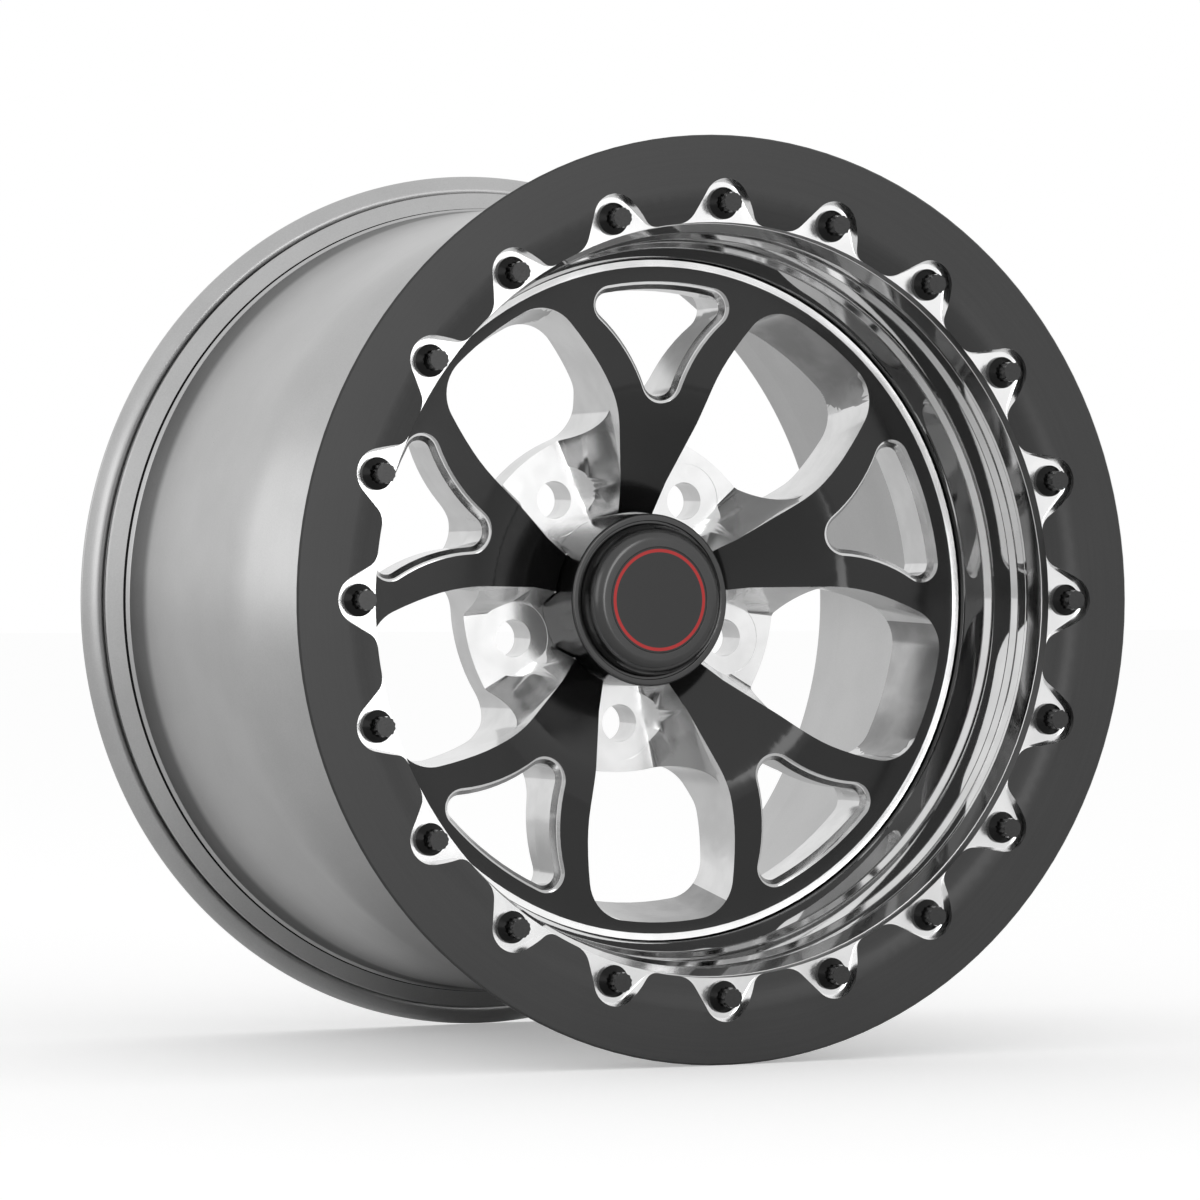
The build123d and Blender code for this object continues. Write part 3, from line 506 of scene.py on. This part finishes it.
LIP = (
    # front edge, and the outside back to the joint
    (165.3, 19.0, 0.4), (168.0, 19.0, 0.4), (168.0, 45.0, 8.0), (166.5, 62.0, 8.0),
    (171.09, 77.0, 0), (169.0, 80.0, 0), (155.5, 80.0, 0),
    # groove round the wheel centre
    (155.5, 68.0, 0), (156.2, 68.0, 0), (156.2, 60.6, 0.4),
    # inside: foot, cone, step, wall and flare
    (156.6, 59.8, 0.4), (160.0, 48.6, 3.5), (163.0, 45.0, 3.5), (163.0, 28.9, 1.0),
    (165.3, 26.0, 1.0),
)
BARREL = (
    # joint and outside
    (169.0, 80.0, 0), (172.92, 83.0, 0), (185.5, 124.15, 95), (188.4, 225.0, 0),
    # rear bead seat, the ridge at its end and the groove behind it
    (188.64, 233.5, 8), (189.6, 248.2, 1.5), (190.9, 250.2, 0.15), (189.0, 250.4, 0.1),
    (189.0, 251.9, 0.1),
    # bead face, groove and rolled edge
    (191.1, 252.72, 0.15), (199.4, 255.95, 0.9), (194.73, 261.0, 0.4), (196.2, 263.1, 0.4),
    (198.8, 258.75, 3.65), (205.3, 262.0, 13), (207.5, 264.8, 1), (207.5, 267.0, 1),
    # back of that edge, and the inside forward to the root at the wheel centre
    (193.0, 267.0, 2), (190.3, 261.5, 2), (184.8, 258.0, 5.5), (183.14, 233.5, 8),
    (180.0, 124.15, 89.5), (171.93, 97.75, 4), (155.5, 97.75, 1), (155.5, 80.0, 0),
)
CAP = (
    # front, with the medallion's seat
    (0, 68.2, 0), (24.4, 68.2, 0), (24.4, 67.4, 0.2), (33.07, 67.4, 7),
    # dome, fine groove and rim
    (35.4, 77.0, 0.4), (35.4, 78.0, 0), (36.4, 78.0, 0), (36.4, 77.0, 0.4), (39.7, 77.0, 1.2),
    (39.7, 109.0, 0.4),
    # spigot, with the rubber ring's groove
    (37.4, 109.0, 0), (37.4, 111.9, 0), (35.3, 111.9, 0), (35.3, 114.1, 0), (37.4, 114.1, 0),
    (37.4, 117.0, 0.4),
    # inside
    (32.3, 117.0, 0.4), (32.3, 71.2, 3.5), (0, 71.2, 0),
)
VALVE_HOLE_RADIUS = 5.75
VALVE_HOLE_DEPTH = 39.0
VALVE_DRILL_X = -165.0         # middle of the drill, in the lip's left wall
VALVE_DRILL_LENGTH = 40.0
VALVE_DRILL_SIDES = 48


def valve_drill():
    """Cutter for the valve's hole through the left side of the lip."""
    drill = bmesh.new()
    place = Vector((VALVE_DRILL_X * MM, y_at(VALVE_HOLE_DEPTH), 0))
    bmesh.ops.create_cone(
        drill, cap_ends=True, segments=VALVE_DRILL_SIDES, radius1=VALVE_HOLE_RADIUS * MM,
        radius2=VALVE_HOLE_RADIUS * MM, depth=VALVE_DRILL_LENGTH * MM,
        matrix=Matrix.Translation(place) @ Matrix.Rotation(radians(90), 4, "Y"),
    )
    return drill


def piece(name, mesh, materials, node, finish_at=plain):
    """A finished piece from a bmesh. It stands for a CAD node and rides on the wheel."""
    for edge in mesh.edges:
        edge.smooth = len(edge.link_faces) == 2 and edge.calc_face_angle(0.0) < SHARP_ANGLE
    for face in mesh.faces:
        face.smooth = True
        face.material_index = int(finish_at(Spot(face)))
    made = shown(name, mesh)
    for material in materials:
        made.data.materials.append(material)
    weighted = made.modifiers.new("weighted_normals", "WEIGHTED_NORMAL")
    weighted.keep_sharp = True
    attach(made, "root")
    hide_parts(node)


MILLED_FLOOR = machined("milled_floor", dull=0.86, bright=0.93)
MILLED_WALL = machined("milled_wall", dull=0.62, bright=0.70)
# Dark milled metal for the large windows' end walls is painted shade
MILLED_END_SHADE = machined("milled_end_painted_shade", dull=0.24, bright=0.32)
MIRROR = polished()
SATIN = satin("satin_barrel", seat_shade_share=0.0)
# Near-black painted shade in the grooves at the lip's foot and behind the rear seat
GROOVE_SHADE = black_steel("groove_painted_shade", level=0.006, gloss=0.1)

piece(
    "clamp_ring", cad_copy("beadlock_ring"), [ring_black(), MILLED_FLOOR],
    "beadlock_ring", in_bolt_pocket,
)
piece(
    "spoke_centre", cad_copy("wheel_centre"),
    [centre_black(), MILLED_WALL, MILLED_FLOOR, MIRROR, MILLED_END_SHADE],
    "wheel_centre", on_centre,
)
piece(
    "polished_lip", bored(spun(LIP), valve_drill()), [MIRROR, GROOVE_SHADE],
    "outer_rim_half", in_lip_groove,
)
piece("clamp_flange", cad_copy("beadlock_flange"), [MIRROR], "beadlock_flange")
piece(
    # The second satin here carries painted shade on the rear seat
    "barrel", spun(BARREL), [SATIN, satin("seat_painted_shade", seat_shade_share=1.0), GROOVE_SHADE],
    "inner_rim_half", on_barrel,
)
piece("seam_bead", cad_copy("rim_seam"), [SATIN], "rim_seam")
piece(
    "clamp_bolts", cad_copy("beadlock_bolts"),
    [
        black_steel("bolt_black", level=0.003, gloss=0.2),
        # The lighter base on the bolts' tops is a painted highlight
        black_steel("bolt_top_painted_sheen", level=0.022, gloss=0.5),
    ],
    "beadlock_bolts", on_bolt_top,
)
piece(
    "bolt_inserts", cad_copy("thread_inserts"), [insert_steel()], "thread_inserts"
)
piece("hub_cap", spun(CAP), [cap_black()], "centre_cap")
piece("medallion", cad_copy("cap_medallion"), [medallion_print()], "cap_medallion")
piece("cap_ring", cad_copy("cap_o_ring"), [black_rubber()], "cap_o_ring")


# Studio

FLOOR_HALF_WIDTH = 30.0
FLOOR_LEVEL = 0.85             # grey of the floor's paper
FLOOR_GLOW = 0.3               # extra brightness that only the camera sees
ROOM_LEVEL = 0.8               # grey of the room as a light


def studio_floor():
    """White floor that keeps the wheel's shadow."""
    mesh = bmesh.new()
    bmesh.ops.create_grid(
        mesh, x_segments=1, y_segments=1, size=FLOOR_HALF_WIDTH,
        matrix=Matrix.Translation((0, 0, CAD_BOX[0].z)),
    )
    made = shown("studio_floor", mesh)
    material = bpy.data.materials.new("studio_floor")
    made.data.materials.append(material)
    material.use_nodes = True
    tree = material.node_tree
    tree.nodes.remove(tree.nodes["Principled BSDF"])
    start = Value(tree)
    paper = start.node("ShaderNodeBsdfDiffuse", sockets={"Color": grey(FLOOR_LEVEL)})
    seen = start.node("ShaderNodeLightPath", output="Is Camera Ray")
    light = {"Color": grey(1), "Strength": seen * FLOOR_GLOW}
    glow = start.node("ShaderNodeEmission", sockets=light)
    start.node("ShaderNodeAddShader", sockets={0: paper, 1: glow}).end("Material Output")


def studio_world():
    """Room that is white where it is seen or mirrored, and a little darker as a light."""
    world = bpy.data.worlds.new("studio")
    bpy.context.scene.world = world
    world.use_nodes = True
    tree = world.node_tree
    tree.nodes.remove(tree.nodes["Background"])
    start = Value(tree)
    room, white = (
        start.node("ShaderNodeBackground", sockets={"Color": grey(level), "Strength": 1.0})
        for level in (ROOM_LEVEL, 1)
    )
    seen, glossy, through = (
        start.node("ShaderNodeLightPath", output=ray)
        for ray in ("Is Camera Ray", "Is Glossy Ray", "Is Transmission Ray")
    )
    share = start.math("MINIMUM", seen + glossy + through, 1.0)
    start.node("ShaderNodeMixShader", sockets={0: share, 1: room, 2: white}).end("World Output")


def softbox(name, place, size, power):
    """Rectangular area lamp that looks at the wheel."""
    lamp = bpy.data.lights.new(name, "AREA")
    lamp.shape = "RECTANGLE"
    lamp.size, lamp.size_y = size
    lamp.energy = power
    made = bpy.data.objects.new(name, lamp)
    made.location = place
    made.rotation_euler = (-Vector(place)).to_track_quat("-Z", "Y").to_euler()
    bpy.context.scene.collection.objects.link(made)


def camera():
    """Level camera to the left of the axle line, turned so that it looks along VIEW_ANGLE."""
    lens = bpy.data.cameras.new("photo_camera")
    lens.lens, lens.sensor_width = LENS, SENSOR
    lens.clip_start, lens.clip_end = CLIP_NEAR, CLIP_FAR
    made = bpy.data.objects.new("photo_camera", lens)
    ring_centre = Vector((0, y_at(0), 0))
    back = Vector((-sin(VIEW_ANGLE), -cos(VIEW_ANGLE), 0))
    right = Vector((cos(VIEW_ANGLE), -sin(VIEW_ANGLE), 0))
    made.location = ring_centre + back * CAMERA_DISTANCE - right * CAMERA_SIDE
    made.rotation_euler = (radians(90), 0, -VIEW_ANGLE)
    bpy.context.scene.collection.objects.link(made)
    bpy.context.scene.camera = made


studio_floor()
studio_world()
softbox("softbox_front", place=(0.8, -3.5, 0.3), size=(0.8, 2.2), power=17)
softbox("softbox_side", place=(-2.3, -2.6, 0.5), size=(1.0, 2.2), power=8)
softbox("softbox_left", place=(-2.8, 1.4, 0.6), size=(2.0, 2.0), power=7)
camera()
bpy.context.scene.view_settings.view_transform = "Standard"
